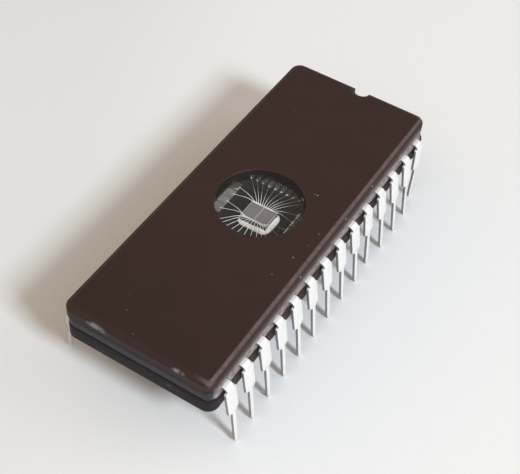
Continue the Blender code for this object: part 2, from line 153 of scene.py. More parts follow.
def rings_to_points(angle, rings, offset=(0.0, 0.0)):
    """Places each ring (reach, height) at (reach cos angle, reach sin angle, height) plus an offset.

    The offset is one plan place for all rings, or a row for each ring."""
    reach = np.array([np.broadcast_to(ring[0], angle.shape) for ring in rings])
    height = np.array([np.broadcast_to(ring[1], angle.shape) for ring in rings])
    offset = np.broadcast_to(offset, (len(rings), 2))
    x = reach * np.cos(angle) + offset[:, :1]
    y = reach * np.sin(angle) + offset[:, 1:]
    return np.stack([x, y, height], axis=-1)


print("reach to the side, the end and the notch:",
      package_reach(np.radians([0, -90, 90])).round(2))

# %% [markdown]
# Equal steps of angle would put too few points on the long sides and none in the notch. The
# directions are therefore chosen from points on the outline itself: even steps along each side, with
# closer ones round each corner, in the notch and at the three small chips that handling has knocked
# out of the lid's edge.

# %% Directions that suit the outline
CHIPS = np.array([[6.90, 3.0], [6.95, 7.85], [6.95, -4.9]]) - LID_OFFSET
CHIP_SIZES = (0.16, 0.20, 0.13)


def directions(spacing):
    """The angles of points set along the sides and ends at a spacing, and closer where it matters."""
    side_y = np.arange(-HALF_LENGTH, HALF_LENGTH + spacing, spacing)
    end_x = np.arange(-HALF_WIDTH, HALF_WIDTH + spacing, spacing)
    notch_x = NOTCH_SHIFT + np.linspace(-2.2 * NOTCH, 2.2 * NOTCH, 61)
    chip_y = (CHIPS[:, 1:2] + np.linspace(-0.5, 0.5, 21)).ravel()
    corner = math.atan2(HALF_LENGTH, HALF_WIDTH) + np.linspace(-0.07, 0.07, 29)
    cavity = math.atan2(CAVITY_Y, CAVITY_X) + np.linspace(-0.12, 0.12, 17)
    recess = math.atan2(RECESS_Y, RECESS_X) + np.linspace(-0.10, 0.10, 9)
    first = np.concatenate([corner, cavity, recess])
    angle = np.concatenate([
        np.arctan2(side_y, HALF_WIDTH), np.arctan2(side_y, -HALF_WIDTH),
        np.arctan2(HALF_LENGTH, end_x), np.arctan2(-HALF_LENGTH, end_x),
        np.arctan2(HALF_LENGTH, notch_x), np.arctan2(chip_y, HALF_WIDTH),
        first, -first, math.pi - first, first - math.pi])
    return np.unique(np.mod(angle, 2 * math.pi).round(4))


package_angle = directions(0.6)
print("directions round the package:", len(package_angle))

# %% [markdown]
# The lid is a plate with a hole, so its rings make a closed loop: up the window's wall, out over the
# top, round the soft upper edge, down the side, in along the underside and round the shallow recess
# over the lead tips. Between the round window and the long outline each ring is a mix of the two.
# Pressed and fired ceramic is never quite flat, so a few long, very low waves are taken off its top.

# %% The ceramic lid
def low_waves(x, y):
    """Between 0 and 1: a sum of three long sine waves in different directions, like fired ceramic."""
    waves = np.sin(0.9 * x + 0.35 * y) + np.sin(0.55 * y - 0.4 * x + 1.3) + np.sin(0.23 * y + 1.7 * x)
    return (waves + 3) / 6


def chip_depth(points):
    """How deep the edge is chipped, in mm: a small bell round each chip, uneven along the edge."""
    depth = np.zeros(points.shape[:2])
    for (chip_x, chip_y), size in zip(CHIPS, CHIP_SIZES):
        gap = np.hypot(points[..., 0] - chip_x, (points[..., 1] - chip_y) * 0.8)
        level = np.clip((points[..., 2] - LID_BOTTOM) / 0.6, 0, 1)
        depth += 0.09 * level * np.exp(-(gap / size) ** 2) * (1 + 0.4 * np.sin(31 * points[..., 1]))
    return depth


def lid_edge():
    """The lid's upper edge as (inset, drop) pairs: a straight bevel, then a curve down to the wall.

    The curve is the blend (1-t)^2 start + 2t(1-t) corner + t^2 end, and the crease at the top of the
    bevel is broken by one short step on each side of it."""
    bevel = [(CREASE, 0.0), (0.49, 0.010), (0.45, 0.032), (0.34, 0.097), (0.23, 0.162)]
    t = np.linspace(0, 1, 7)
    inset = 0.18 * (1 - t) ** 2
    drop = 0.19 * (1 - t) ** 2 + 2 * 0.296 * t * (1 - t) + 0.44 * t**2
    return bevel + list(zip(inset, drop))


def lid_points(angle):
    """Rings of the lid: (reach, height) pairs, from the foot of the window's wall and back to it."""
    recess = np.maximum(box_reach(angle, RECESS_X, RECESS_Y, CAVITY_CORNER), WINDOW_RADIUS)
    crease = package_reach(angle, CREASE)
    rings = [(WINDOW_RADIUS, LENS_BOTTOM), (WINDOW_RADIUS, LID_TOP - 0.03)]
    rings += [(WINDOW_RADIUS + 0.03, LID_TOP)]
    flat = np.linspace(0.02, 0.99, 22)
    rings += [(WINDOW_RADIUS + (crease - WINDOW_RADIUS) * mix, LID_TOP) for mix in flat]
    rings += [(package_reach(angle, inset), LID_TOP - drop) for inset, drop in lid_edge()]
    rings += [(package_reach(angle), 7.8), (package_reach(angle), LID_BOTTOM + PLATE_ROUND)]
    turn = np.radians(np.linspace(0, 90, 4)[1:])
    rings += [(package_reach(angle, 0.08 * (1 - math.cos(t))),
               LID_BOTTOM + PLATE_ROUND * (1 - math.sin(t))) for t in turn]
    rings += [(recess + 0.02, LID_BOTTOM), (recess, LID_BOTTOM + 0.03), (recess, LENS_BOTTOM)]
    points = rings_to_points(angle, rings, LID_OFFSET)
    from_window = np.hypot(points[..., 0] - LID_OFFSET[0], points[..., 1] - LID_OFFSET[1])
    top = (points[..., 2] > LID_TOP - 0.2) & (from_window > WINDOW_RADIUS + 0.05)
    points[..., 2] -= np.where(top, WAVE_DEPTH * low_waves(points[..., 0], points[..., 1]), 0)
    inwards = chip_depth(points)
    points[..., 0] -= inwards
    points[..., 2] -= 0.6 * inwards
    return points


lid = make_piece("lid", lid_points(package_angle), ring_of_rows=True)
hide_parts("ceramic_lid")
print("lid faces:", len(lid.data.polygons))

# %% [markdown]
# The base has no hole, so its rings start at a small ring in the middle of the underside and end at
# one in the middle of the cavity's floor. Its lower edge is softly rounded, as the lid's upper edge
# is, because both come out of a press.

# %% The ceramic base
def base_points(angle):
    """Rings of the base: underside, round lower edge, wall, seam, rim, cavity wall and floor."""
    cavity = box_reach(angle, CAVITY_X, CAVITY_Y, CAVITY_CORNER)
    flat = package_reach(angle, PLATE_ROUND)
    rings = [(0.05 + (flat - 0.05) * mix, BASE_BOTTOM) for mix in np.linspace(0, 1, 12)]
    turn = np.radians(np.linspace(0, 90, 6)[1:])
    rings += [(package_reach(angle, PLATE_ROUND * (1 - math.sin(t))),
               BASE_BOTTOM + PLATE_ROUND * (1 - math.cos(t))) for t in turn]
    rings += [(package_reach(angle), BASE_TOP - 0.5), (package_reach(angle), BASE_TOP - PLATE_ROUND)]
    turn = np.radians(np.linspace(0, 90, 5)[1:])
    rings += [(package_reach(angle, PLATE_ROUND * (1 - math.cos(t))),
               BASE_TOP - PLATE_ROUND + PLATE_ROUND * math.sin(t)) for t in turn]
    outer = len(rings)
    rings += [(cavity + 0.06, BASE_TOP), (cavity + 0.02, BASE_TOP - 0.02), (cavity, BASE_TOP - 0.07)]
    rings += [(cavity, CAVITY_FLOOR + 0.05), (cavity - 0.05, CAVITY_FLOOR)]
    rings += [(cavity * mix, CAVITY_FLOOR) for mix in (0.8, 0.5, 0.02)]
    offset = np.where(np.arange(len(rings))[:, None] < outer, BASE_OFFSET, 0.0)
    return rings_to_points(angle, rings, offset)


base = make_piece("base", base_points(package_angle))
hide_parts("ceramic_base")
print("base faces:", len(base.data.polygons))

# %% [markdown]
# The seal glass is squeezed a little out of the seam when the package is fired, and it wets the
# leads. So its edge stands proud at each lead and sags back between them, which a wave of the pitch
# gives, and it is a little uneven all round. Inside, it stops short of the cavity and leaves the
# tips of the leads bare.

# %% The seal glass
PITCH = 2.54


def seam_sag(angle):
    """How far the glass stands back from the ceramic: least at each lead, most half-way between."""
    y = package_reach(angle) * np.sin(angle)
    x = package_reach(angle) * np.cos(angle)
    between = 0.5 - 0.5 * np.cos(2 * math.pi * (y / PITCH + 0.5))
    on_side = np.abs(x) > HALF_WIDTH - 0.3
    uneven = 0.012 * np.sin(3.1 * y + 0.7 * x) + 0.010 * np.sin(7.3 * y + 5.0 * x)
    return np.where(on_side, 0.03 + 0.07 * between, 0.01) + 0.5 * uneven


def seal_points(angle):
    """Rings of the glass: a bulging outer edge, the top, the step round the bare tips, the bed."""
    sag = seam_sag(angle)
    window = box_reach(angle, RECESS_X, RECESS_Y, CAVITY_CORNER)
    bed = box_reach(angle, BED_X, BED_Y, CAVITY_CORNER)
    rise = np.linspace(-1, 1, 13)
    rings = [(package_reach(angle, 0.04) - sag - 0.05 * r**4, 6.89 + 0.36 * r) for r in rise]
    step = LEAD_TOP - 0.06
    rings += [(window + 0.05, 7.21), (window, 7.18), (window, step + 0.02), (window - 0.05, step)]
    rings += [(bed + 0.05, step), (bed, step - 0.05), (bed, 6.57), (bed + 0.4, 6.55)]
    share = np.clip((np.append(rise, np.ones(8)) + 1) / 2, 0, 1)[:, None]
    offset = BASE_OFFSET * (1 - share) + LID_OFFSET * share
    offset[len(rise):] = 0.0
    return rings_to_points(angle, rings, offset)


seal = make_piece("seal", seal_points(directions(0.2)), ring_of_rows=True)
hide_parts("seal_glass")
print("seal glass faces:", len(seal.data.polygons))

# %% [markdown]
# The lens is a disc of clear glass that was fused into the lid. While it was soft, its surface sank
# a little in the middle, so its face is a very shallow dish that meets the ceramic in a fine step. It
# casts no shadow, because the renderer finds no lamp through bending glass.

# %% The window's lens
def lens_points(angle):
    """Rings of the lens: flat below, a straight wall, and a dish that rises as the square."""
    radius = WINDOW_RADIUS + 0.01
    out = np.linspace(0.01, 1, 16)
    below = [(radius * mix, LENS_BOTTOM) for mix in (0.01, 0.5, 0.99)] + [(radius, LENS_BOTTOM + 0.03)]
    dish = [(radius * mix, LID_TOP - 0.05 + 0.02 * mix**2) for mix in out[::-1]]
    return rings_to_points(angle, below + dish, LID_OFFSET)


lens = make_piece("lens", lens_points(np.radians(np.arange(0, 360, 3))), sharp=15.0)
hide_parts("window_lens")
lens.visible_shadow = False
print("lens faces:", len(lens.data.polygons))

# %% [markdown]
# The leads are stamped from one thin sheet and folded down. Each one is a rounded rectangle carried
# along a path: flat in the glass from its tip near the die to the package's side, round the bend,
# and down the leg, which narrows in a slanting step and ends in a point. In each row the outer leads
# turn to the ends of the cavity and the middle ones to its sides.

# %% Where each lead starts and ends
LEADS_IN_ROW = 14
MIDDLE_OF_ROW = (LEADS_IN_ROW - 1) / 2
pin_side = np.where(PINS <= LEADS_IN_ROW, -1, 1)
pin_y = np.where(PINS <= LEADS_IN_ROW, MIDDLE_OF_ROW - (PINS - 1), PINS - 15 - MIDDLE_OF_ROW) * PITCH
pin_end = np.where(pin_y > 0, 1, -1)
from_end = np.round(MIDDLE_OF_ROW - np.abs(pin_y) / PITCH).astype(int)
LOCK_X, ROOT_X, SHOULDER_HALF, ROOT_HALF, FINGER_HALF = 6.75, 5.95, 0.46, 0.40, 0.31
TIPS_AT_END, END_TIP_Y, END_TIP_PITCH, END_TIP_HALF = 5, 3.08, 0.64, 0.21
TIP_RUN, TIP_STAGGER = 0.62, 0.45
SIDE_TIP_X, SIDE_TAPER_X, SIDE_TIP_PITCH, SIDE_TIP_HALF, TURN_SHARE = 2.98, 3.73, 1.03, 0.45, 0.36
WIDE_LEAN, LEG_LEAN = 9.2, 6.5
pushed = np.zeros(len(PINS) + 1)
pushed[[24, 27, 28]] = 1.7, 1.2, 7.2
print("pins beside the notch:", PINS[from_end == 0])


def flat_route(pin):
    """The lead's flat part, from its bare tip to the package's side: x, y and half width."""
    side, y, end, rank = (a[pin - 1] for a in (pin_side, pin_y, pin_end, from_end))
    lock = (side * LOCK_X, y, SHOULDER_HALF)
    root = (side * ROOT_X, y, ROOT_HALF)
    if rank < TIPS_AT_END:
        x = side * END_TIP_PITCH * (rank + 0.5)
        turn = END_TIP_Y + TIP_RUN + TIP_STAGGER * (TIPS_AT_END - 1 - rank)
        halfway = ((root[0] + x) / 2, (y + end * turn) / 2, FINGER_HALF)
        tip, bend = (x, end * END_TIP_Y, END_TIP_HALF), (x, end * turn, END_TIP_HALF)
        return np.array([tip, bend, halfway, root, lock])
    y_tip = end * SIDE_TIP_PITCH * (MIDDLE_OF_ROW - rank)
    turn = side * (SIDE_TIP_X + TURN_SHARE * (ROOT_X - SIDE_TIP_X))
    tip, taper = (side * SIDE_TIP_X, y_tip, SIDE_TIP_HALF), (side * SIDE_TAPER_X, y_tip, SIDE_TIP_HALF)
    return np.array([tip, taper, (turn, y_tip, FINGER_HALF), root, lock])


print("route of pin 1:", flat_route(1).round(2).tolist())

# %% [markdown]
# At a turn of the flat part the section is set on the line that halves the corner and widened by one
# over the cosine of half the turn, as a mitre is, so that the strip keeps its width. Round the bend
# the section turns with the metal. The same code then carries one section along the whole lead.

# %% Carry the section along a lead
BEND_STANDOFF, BEND_MIDDLE = 0.11, 0.295
WIDE_LEVELS = [6.58, 6.52, 6.46, 4.25, 4.12, 3.90, 3.84]
WIDE_HALVES = [0.46, 0.69, 0.71, 0.71, 0.69, 0.27, 0.24]
LEG_LEVELS = [3.70, 2.0, 0.42, 0.20]
LEG_HALVES = [0.24, 0.24, 0.24, 0.15, 0.08]
STRIP_ROUND = 0.045


def down_the_leg(start, side, lean, levels):
    """Centres at the given heights, below a start, on a line that leans outwards."""
    drop = (start[2] - np.array(levels))[:, None]
    return start + drop * [side * math.tan(lean), 0.0, -1.0]


def lead_stations(pin):
    """Centre, half width, sideways vector and outward normal of each section, tip to point."""
    route = flat_route(pin)
    side, y = pin_side[pin - 1], pin_y[pin - 1]
    run = np.diff(route[:, :2], axis=0)
    run /= np.linalg.norm(run, axis=1, keepdims=True)
    before, after = np.vstack([run[:1], run]), np.vstack([run, run[-1:]])
    middle = before + after
    middle /= np.linalg.norm(middle, axis=1, keepdims=True)
    stretch = 1 / (middle * before).sum(axis=1)
    flat_across = np.stack([-middle[:, 1], middle[:, 0], 0 * stretch], axis=1) * stretch[:, None]
    flat_centre = np.column_stack([route[:, :2], np.full(len(route), LEAD_MIDDLE)])
    wide_lean, leg_lean = np.radians([WIDE_LEAN - pushed[pin], LEG_LEAN - pushed[pin]])
    steps = 9
    turn = np.linspace(0, math.pi / 2 - wide_lean, steps)
    outward = np.stack([side * np.sin(turn), 0 * turn, np.cos(turn)], axis=1)
    bend_axis = [side * (HALF_WIDTH + BEND_STANDOFF), y, LEAD_MIDDLE - BEND_MIDDLE]
    bend = np.array(bend_axis) + BEND_MIDDLE * outward
    wide = down_the_leg(bend[-1], side, wide_lean, WIDE_LEVELS)
    tip_height = LEAD_THICKNESS / 2 * abs(math.sin(leg_lean))
    leg = down_the_leg(wide[-1], side, leg_lean, [*LEG_LEVELS, tip_height])
    centre = np.vstack([flat_centre, bend, wide, leg])
    half = np.concatenate([route[:, 2], np.full(steps, SHOULDER_HALF), WIDE_HALVES, LEG_HALVES])
    folded = len(bend) + len(wide) + len(leg)
    across = np.vstack([flat_across, np.tile([0.0, side, 0.0], (folded, 1))])
    leg_face = [side * math.cos(leg_lean), 0.0, math.sin(leg_lean)]
    normal = np.vstack([np.tile([0.0, 0.0, 1.0], (len(route), 1)), outward,
                        np.tile(outward[-1], (len(wide), 1)), np.tile(leg_face, (len(leg), 1))])
    return centre, half, across, normal


def lead_points(pin):
    """Each section is a rounded rectangle: corner centre plus radius times (cosine, sine)."""
    centre, half, across, normal = lead_stations(pin)
    turn = np.radians([0, 45, 90, 90, 135, 180, 180, 225, 270, 270, 315, 360])
    sign_a = np.repeat([1, -1, -1, 1], 3)
    sign_b = np.repeat([1, 1, -1, -1], 3)
    sideways = sign_a * np.maximum(half[:, None] - STRIP_ROUND, 0.02) + STRIP_ROUND * np.cos(turn)
    upward = sign_b * (LEAD_THICKNESS / 2 - STRIP_ROUND) + STRIP_ROUND * np.sin(turn)
    upward = np.broadcast_to(upward, sideways.shape)
    return (centre[:, None] + across[:, None] * sideways[..., None]
            + normal[:, None] * upward[..., None])


leads = []
for pin in PINS:
    lead = make_piece(f"pin_{pin:02d}", lead_points(pin), sharp=50.0)
    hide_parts(f"lead_{pin:02d}")
    leads.append(lead)
print("leads:", len(leads), "with", len(leads[0].data.polygons), "faces each")

# %% [markdown]
# The die is held by silver-filled glass. It was pressed down on a drop of paste, which spread into a
# round pad with radial wrinkles and was drawn up round the die when it dried. The pad is a low dome
# whose edge and height both wave with the angle.

# %% The die attach
DIE_X, DIE_Y, DIE_SHIFT = 1.31, 1.08, -0.07
DIE_BOTTOM, DIE_TOP = 6.22, 6.85


def attach_points(angle):
    """Rings of the pad: height falls as the root of one minus the square of the way out.

    On the right it climbs higher, by the cosine of the angle, and bulges out a little."""
    edge = box_reach(angle, 1.60, 1.45, 0.75) * (1 + 0.010 * np.sin(5 * angle + 0.6))
    edge += 0.07 * np.clip(np.cos(angle - 0.2), 0, 1) ** 2
    wrinkles = np.sin(26 * angle + 2 * np.sin(3 * angle)) + 0.6 * np.sin(41 * angle)
    climb = 0.34 + 0.30 * np.clip(np.cos(angle), 0, 1)
    rings = [(edge, CAVITY_FLOOR - 0.03)]
    for way in (1.0, 0.99, 0.97, 0.94, 0.90, 0.85, 0.8, 0.7, 0.4, 0.1):
        slope = math.sqrt(1 - way**2)
        rings.append((edge * way, CAVITY_FLOOR - 0.01 + (climb + 0.016 * wrinkles * way) * slope))
    return rings_to_points(angle, rings, (0.0, DIE_SHIFT))


attach = make_piece("attach", attach_points(np.radians(np.arange(0, 360, 1.5))), sharp=80.0)
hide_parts("die_attach")
print("die attach faces:", len(attach.data.polygons))

# %% [markdown]
# The die is a plain sawn slice of silicon. All that shows on its face is drawn by light in layers
# thinner than a hair: two blocks of memory cells, the strips of circuits that drive them, and a row
# of metal pads along both edges that face the package's ends. So its shape stays a box, and the
# finish further down draws the circuits.

# %% The silicon die
def die_points():
    """Rings of a box with sharp upright edges: underside, walls and face."""
    even = np.radians(np.arange(0, 360, 5.0))
    corner = math.atan2(DIE_Y, DIE_X) + np.array([-0.012, 0.0, 0.012])
    turn = np.concatenate([even, corner, -corner, math.pi - corner, corner - math.pi])
    turn = np.sort(np.mod(turn, 2 * math.pi))
    edge = box_reach(turn, DIE_X, DIE_Y, 0.015)
    rings = [(edge * 0.02, DIE_BOTTOM), (edge, DIE_BOTTOM), (edge, DIE_TOP - 0.01)]
    rings += [(edge * mix, DIE_TOP) for mix in (0.99, 0.02)]
    return rings_to_points(turn, rings, (0.0, DIE_SHIFT))


die = make_piece("die", die_points(), sharp=30.0)
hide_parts("silicon_die")
print("die faces:", len(die.data.polygons))

# %% [markdown]
# Each wire is welded flat to a pad on the die, climbs, bows over and comes down on the bare tip of
# its lead. The path's plan is a straight line and its height a quarter sine plus a low arch. The
# section is a circle that is pressed wide and thin at both welds.

# %% The bond wires
WIRE_RADIUS = 0.020
PAD_X, PAD_Y = 1.11, 0.90
WELD_INSET, WELD_LENGTH = 0.12, 0.05


def wire_ends():
    """Start on the die and end on the lead of every wire: pads in rank order along two edges."""
    start_x = pin_side * PAD_X * (from_end + 0.5) / 6.5
    start_y = DIE_SHIFT + pin_end * PAD_Y
    tip = np.array([flat_route(pin)[:2, :2] for pin in PINS])
    run = tip[:, 1] - tip[:, 0]
    run /= np.linalg.norm(run, axis=1, keepdims=True)
    end = tip[:, 0] + WELD_INSET * run
    start = np.column_stack([start_x, start_y, np.full(len(PINS), DIE_TOP + WIRE_RADIUS / 2)])
    end = np.column_stack([end, np.full(len(PINS), LEAD_TOP + WIRE_RADIUS / 2)])
    return start, end


def wire_points(start, end, rise):
    """Plan goes as share to the power 1.35; height as a quarter sine plus rise sin(pi s)(1 - s s)."""
    share = np.linspace(0, 1, 25)[:, None]
    centre = start + (end - start) * share**1.35
    centre[:, 2] = (start[2] + (end[2] - start[2]) * np.sin(share * math.pi / 2)
                    + rise * np.sin(math.pi * share) * (1 - share**2))[:, 0]
    run = np.gradient(centre, axis=0)
    run /= np.linalg.norm(run, axis=1, keepdims=True)
    across = np.cross(run, [0, 0, 1.0])
    across /= np.linalg.norm(across, axis=1, keepdims=True)
    over = np.cross(across, run)
    weld = np.exp(-(share / WELD_LENGTH) ** 2) + np.exp(-((1 - share) / WELD_LENGTH) ** 2)
    turn = np.radians(np.arange(0, 360, 45))
    wide = WIRE_RADIUS * (1 + 0.9 * weld) * np.cos(turn)
    thick = WIRE_RADIUS * (1 - 0.5 * weld) * np.sin(turn)
    return centre[:, None] + across[:, None] * wide[..., None] + over[:, None] * thick[..., None]


wire_start, wire_end = wire_ends()
wires = []
for pin in PINS:
    rise = 0.20 + 0.03 * math.sin(2.3 * pin)
    points = wire_points(wire_start[pin - 1], wire_end[pin - 1], rise)
    wire = make_piece(f"bond_wire_{pin:02d}", points)
    wires.append(wire)
print("bond wires:", len(wires))

# %% [markdown]
# The finishes are built from shader nodes that read each point's place on the piece, so they need no
# picture and stay put from any side. A few short helpers keep the node code readable: one starts a
# material with its place node in millimetres, and one adds a node and sets its inputs.

# %% Helpers for finishes
SPACE_RADIUS, SPACE_HALF_HEIGHT = 4.8, 1.32


def start_finish(name, roughness, metallic=0.0):
    """A material with its shader, and the point's place in millimetres from a Mapping node."""
    made = bpy.data.materials.new(name)
    made.use_nodes = True
    tree = made.node_tree
    shader = tree.nodes["Principled BSDF"]
    shader.inputs["Roughness"].default_value = roughness
    shader.inputs["Metallic"].default_value = metallic
    where = tree.nodes.new("ShaderNodeTexCoord")
    scale = tree.nodes.new("ShaderNodeMapping")
    scale.inputs["Scale"].default_value = (1 / MM, 1 / MM, 1 / MM)
    tree.links.new(where.outputs["Object"], scale.inputs["Vector"])
    return made, tree, shader, scale.outputs["Vector"]


def add_node(tree, kind, inputs=(), **settings):
    """Adds a node, sets its properties, then sets or links its inputs by name or number."""
    made = tree.nodes.new(kind)
    for key, value in settings.items():
        setattr(made, key, value)
    for key, value in dict(inputs).items():
        if isinstance(value, bpy.types.NodeSocket):
            tree.links.new(value, made.inputs[key])
        else:
            made.inputs[key].default_value = value
    return made


def noise(tree, place, scale, detail=4.0, roughness=0.55):
    """Soft cloudy noise, with its scale in lumps per millimetre."""
    made = add_node(tree, "ShaderNodeTexNoise",
                    {"Vector": place, "Scale": scale, "Detail": detail, "Roughness": roughness})
    return made.outputs["Fac"]


def remap(tree, value, low, high, to_low, to_high):
    """Stretches a value from one range to another and holds it at the ends."""
    made = add_node(tree, "ShaderNodeMapRange",
                    {"Value": value, "From Min": low, "From Max": high,
                     "To Min": to_low, "To Max": to_high})
    return made.outputs["Result"]


def mix_colour(tree, share, first, second):
    """A colour between two others, by share."""
    made = add_node(tree, "ShaderNodeMix", data_type="RGBA")
    for slot, value in ((0, share), (6, first), (7, second)):
        if isinstance(value, bpy.types.NodeSocket):
            tree.links.new(value, made.inputs[slot])
        else:
            made.inputs[slot].default_value = value if slot == 0 else (*value, 1.0)
    return made.outputs[2]


def maths(tree, operation, *values):
    """One arithmetic node on up to three values."""
    return add_node(tree, "ShaderNodeMath", dict(enumerate(values)), operation=operation).outputs[0]


def product(tree, first, *others):
    """Several values multiplied: for masks, the place where all of them hold."""
    for other in others:
        first = maths(tree, "MULTIPLY", first, other)
    return first


def within(tree, value, centre, half):
    """1 where a value lies within half of a centre, else 0."""
    return maths(tree, "COMPARE", value, centre, half)


def split(tree, place):
    """The place's three coordinates."""
    return add_node(tree, "ShaderNodeSeparateXYZ", {"Vector": place}).outputs


def vector(tree, operation, *values):
    """One vector node on up to two places."""
    return add_node(tree, "ShaderNodeVectorMath", dict(enumerate(values)), operation=operation)


def marks(tree, place, spots, squash=(1.0, 1.0, 1.0)):
    """The strongest of several soft marks: full in a mark's middle, nought at its edge.

    A mark is its x, y, z, radius and strength. Its reach along each axis is divided by squash."""
    total = 0.0
    for x, y, z, radius, strength in spots:
        gap = vector(tree, "SUBTRACT", place, (x, y, z)).outputs[0]
        gap = vector(tree, "MULTIPLY", gap, squash).outputs[0]
        far = vector(tree, "LENGTH", gap).outputs["Value"]
        mark = remap(tree, far, 0.4 * radius, radius, strength, 0.0)
        total = maths(tree, "MAXIMUM", mark, total)
    return total


def outside_of(tree, value, middle, half):
    """How far a coordinate lies beyond half a length from a middle."""
    off = maths(tree, "ABSOLUTE", maths(tree, "SUBTRACT", value, middle))
    return maths(tree, "SUBTRACT", off, half)


def under_window(tree, place):
    """1 inside the hole for the lens and the wider space below it, down past the cavity's floor."""
    z = split(tree, place)[2]
    gap = vector(tree, "SUBTRACT", place, (*LID_OFFSET.tolist(), 0.0)).outputs[0]
    off = vector(tree, "LENGTH", vector(tree, "MULTIPLY", gap, (1, 1, 0)).outputs[0]).outputs["Value"]
    reach = remap(tree, z, LENS_BOTTOM - 0.03, LENS_BOTTOM - 0.01, SPACE_RADIUS, WINDOW_RADIUS + 0.02)
    inside = maths(tree, "LESS_THAN", off, reach)
    return product(tree, inside, within(tree, z, LID_BOTTOM, SPACE_HALF_HEIGHT))


def add_bump(tree, shader, height, depth, strength=1.0):
    """Turns a height between 0 and 1 into a bump of a depth in millimetres."""
    bump = add_node(tree, "ShaderNodeBump",
                    {"Height": height, "Distance": depth * MM, "Strength": strength})
    tree.links.new(bump.outputs["Normal"], shader.inputs["Normal"])


def dress(piece, finish):
    """Gives a piece one finish."""
    piece.data.materials.clear()
    piece.data.materials.append(finish)


print("helpers ready")

# %% [markdown]
# The ceramic is alumina coloured dark brown. It is matte with a fine pressed grain, a little lighter
# where the grains stand up, and slightly cloudy over its length. Two noises of different scale make
# the colour, and the fine one also makes the bump and breaks up the sheen. The rest is set by place,
# much of it as painted light and shade: painted shade makes the near left darker and both ends nearly
# black low down and higher up on the left; a painted highlight makes the bevel on the right paler; a
# pale glass film, partly a painted reflection, lies on the lid's wall below it; smears, partly painted
# highlights on the lid's near edge, dust and chips are small pale marks. Painted shade makes the
# ceramic that shows through the lens nearly black.

# %% Dark alumina
DUST = [(-2.58, -15.93, 8.57, 0.07, 0.25), (-0.80, -17.57, 8.57, 0.07, 0.25),
        (-1.46, -18.25, 8.45, 0.06, 0.3), (-3.37, -14.51, 8.57, 0.05, 0.2),
        (-5.16, 5.95, 8.57, 0.05, 0.3), (-3.69, 12.17, 8.57, 0.05, 0.3),
        (4.98, -6.23, 8.57, 0.06, 0.5), (5.51, -3.69, 8.57, 0.07, 0.7),
        (5.89, -1.80, 8.57, 0.05, 0.5), (5.98, -0.17, 8.57, 0.06, 0.6),
        (3.33, 3.72, 8.56, 0.07, 0.3), (3.61, 3.72, 8.56, 0.07, 0.9)]
# Pale smears; the three high on the lid's near edge are painted highlights.
SMEARS_AND_HIGHLIGHTS = [(-3.8, -18.4, 8.12, 0.50, 0.8), (-3.1, -18.4, 8.00, 0.28, 0.6),
          (4.0, -18.4, 8.28, 0.32, 0.8), (-3.4, -18.5, 5.60, 0.25, 0.2),
          (3.7, -18.5, 6.00, 0.40, 0.3)]
BEVEL_INSET = 0.50
ceramic, tree, shader, place = start_finish("dark alumina", 0.55)
grain = noise(tree, place, 14.0, detail=6.0, roughness=0.7)
cloud = noise(tree, place, 0.35, detail=2.0)
uneven = noise(tree, place, 2.5, detail=3.0)
streaky = noise(tree, place, 2.2, detail=6.0)
x, y, z = split(tree, place)
body = mix_colour(tree, remap(tree, cloud, 0.35, 0.65, 0, 1),
                  (0.0305, 0.0143, 0.0118), (0.0340, 0.0163, 0.0139))
# Painted shade: the ceramic grows darker towards the near left, where the light falls off.
painted_shade_slope = maths(tree, "MULTIPLY_ADD", x, 0.4, y)
body = mix_colour(tree, remap(tree, painted_shade_slope, -18, -4, 1, 0), body, (0.0262, 0.0118, 0.0098))
body = mix_colour(tree, remap(tree, grain, 0.55, 0.80, 0, 0.5), body, (0.060, 0.036, 0.032))
far_y = maths(tree, "ABSOLUTE", y)
# Painted shade: both ends are darkened to a bluish near black low down, and on their left part higher
# up.
low = product(tree, remap(tree, far_y, 17.0, 17.9, 0, 0.9), remap(tree, z, 7.1, 7.9, 1, 0))
left = product(tree, remap(tree, far_y, 17.5, 18.3, 0, 0.9), remap(tree, z, 8.0, 8.3, 1, 0),
               remap(tree, x, -6.5, -1.5, 1, 0))
body = mix_colour(tree, maths(tree, "MAXIMUM", low, left), body, (0.0125, 0.0100, 0.0140))
from_crease = maths(tree, "MAXIMUM", outside_of(tree, x, LID_OFFSET[0], HALF_WIDTH - BEVEL_INSET),
                    outside_of(tree, y, LID_OFFSET[1], HALF_LENGTH - BEVEL_INSET))
bevel = product(tree, remap(tree, from_crease, -0.05, 0.04, 0, 1),
                remap(tree, from_crease, 0.22, 0.34, 1, 0), remap(tree, z, 8.1, 8.25, 0, 1))
# Painted highlight: the bevel on the right side is made paler, unevenly.
painted_bevel_highlight = product(tree, bevel, remap(tree, x, 5.2, 6.5, 0.0, 1.0), remap(tree, uneven, 0.3, 0.6, 0.5, 1.0))
body = mix_colour(tree, painted_bevel_highlight, body, (0.105, 0.072, 0.066))
# A pale glass film on the lid's lower wall on the right, partly a painted reflection of the bright
# side.
glass_film_and_painted_reflection = product(tree, remap(tree, z, 7.45, 7.85, 1, 0), remap(tree, z, 6.9, 7.1, 0, 1),
               remap(tree, x, 6.9, 7.0, 0, 1), remap(tree, uneven, 0.3, 0.6, 0.35, 0.9))
body = mix_colour(tree, glass_film_and_painted_reflection, body, (0.22, 0.185, 0.175))
# Pale smears, partly painted highlights on the lid's near edge.
smears_and_highlights = product(tree, marks(tree, place, SMEARS_AND_HIGHLIGHTS, (0.45, 1.0, 1.6)),
                 remap(tree, streaky, 0.40, 0.58, 0.1, 1.0))
body = mix_colour(tree, smears_and_highlights, body, (0.29, 0.265, 0.275))
chip_spots = [(px + LID_OFFSET[0], py + LID_OFFSET[1], 8.2, 0.14, 0.25) for px, py in CHIPS]
body = mix_colour(tree, marks(tree, place, DUST + chip_spots), body, (0.60, 0.58, 0.56))
